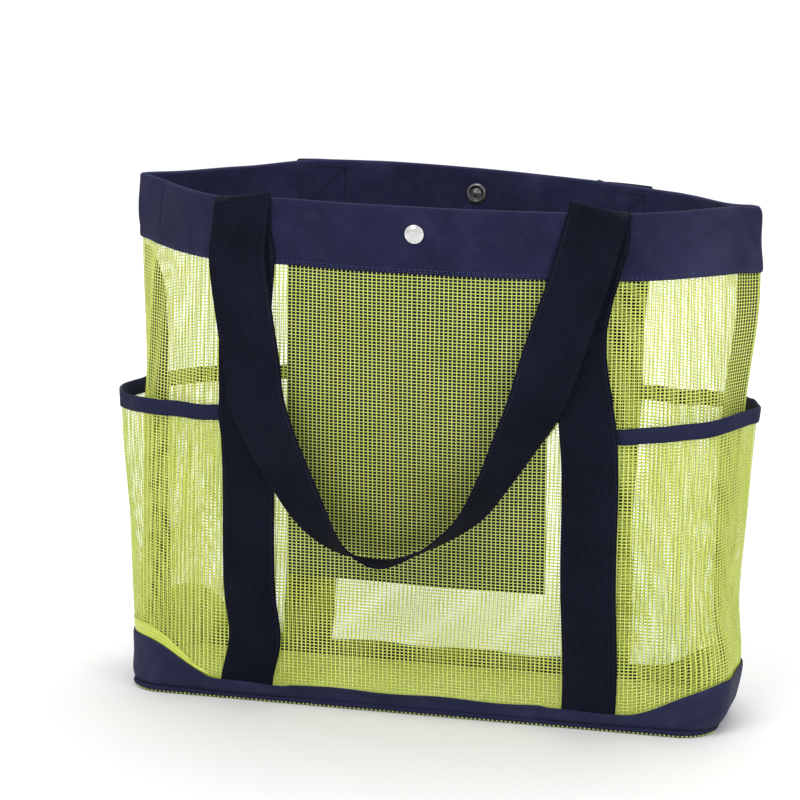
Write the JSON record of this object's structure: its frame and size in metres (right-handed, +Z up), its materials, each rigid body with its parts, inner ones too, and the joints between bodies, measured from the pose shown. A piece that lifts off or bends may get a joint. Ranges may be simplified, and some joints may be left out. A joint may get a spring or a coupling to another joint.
{
  "type": "beach bag",
  "caption": "Open-topped mesh tote with a cloth band and boot, webbing straps, fold-over handles, gaping end pockets, an inner pocket and a press snap.",
  "frame": {"origin": "middle of the underside, on the surface that the bag stands on", "axes": "+X along the mouth to the bag's right end, -Y out of the front, +Z up"},
  "size_m": [0.4588, 0.2344, 0.3625],
  "materials": {
    "lime_mesh": "coated open mesh, slightly glossy",
    "navy_cloth": "tight plain weave with a coated sheen",
    "navy_trim": "folded binding tape",
    "webbing": "ribbed webbing, matt",
    "pocket_cloth": "matt lining cloth",
    "silver_snap": "bright plated",
    "dark_snap": "gunmetal plated"
  },
  "bodies": {
    "bag": {"front_mesh_panel": "lime_mesh", "back_mesh_panel": "lime_mesh", "bottom_mesh_panel": "lime_mesh", "side_pocket_left": "lime_mesh", "side_pocket_right": "lime_mesh", "front_top_band": "navy_cloth", "back_top_band": "navy_cloth", "front_boot": "navy_cloth", "back_boot": "navy_cloth", "base_piping": "navy_trim", "side_pocket_binding_left": "navy_trim", "side_pocket_binding_right": "navy_trim", "side_seam_tape_left": "navy_trim", "side_seam_tape_right": "navy_trim", "inner_pocket_binding": "navy_trim", "front_strap_left": "webbing", "front_strap_right": "webbing", "back_strap_left": "webbing", "back_strap_right": "webbing", "inner_pocket_backing": "pocket_cloth", "inner_pocket_panel": "pocket_cloth", "snap_cap": "silver_snap", "snap_socket": "dark_snap", "snap_stud": "dark_snap", "snap_post": "dark_snap"},
    "front_handle": {"front_handle": "webbing"},
    "back_handle": {"back_handle": "webbing"}
  },
  "joints": [
    {"name": "front_handle_fold", "type": "hinge", "parent": "bag", "child": "front_handle", "pos_m": [0, -0.088, 0.3625], "axis": [-1, 0, 0], "range_deg": [0, 175]},
    {"name": "back_handle_fold", "type": "hinge", "parent": "bag", "child": "back_handle", "pos_m": [0, 0.088, 0.3625], "axis": [1, 0, 0], "range_deg": [0, 175]}
  ]
}
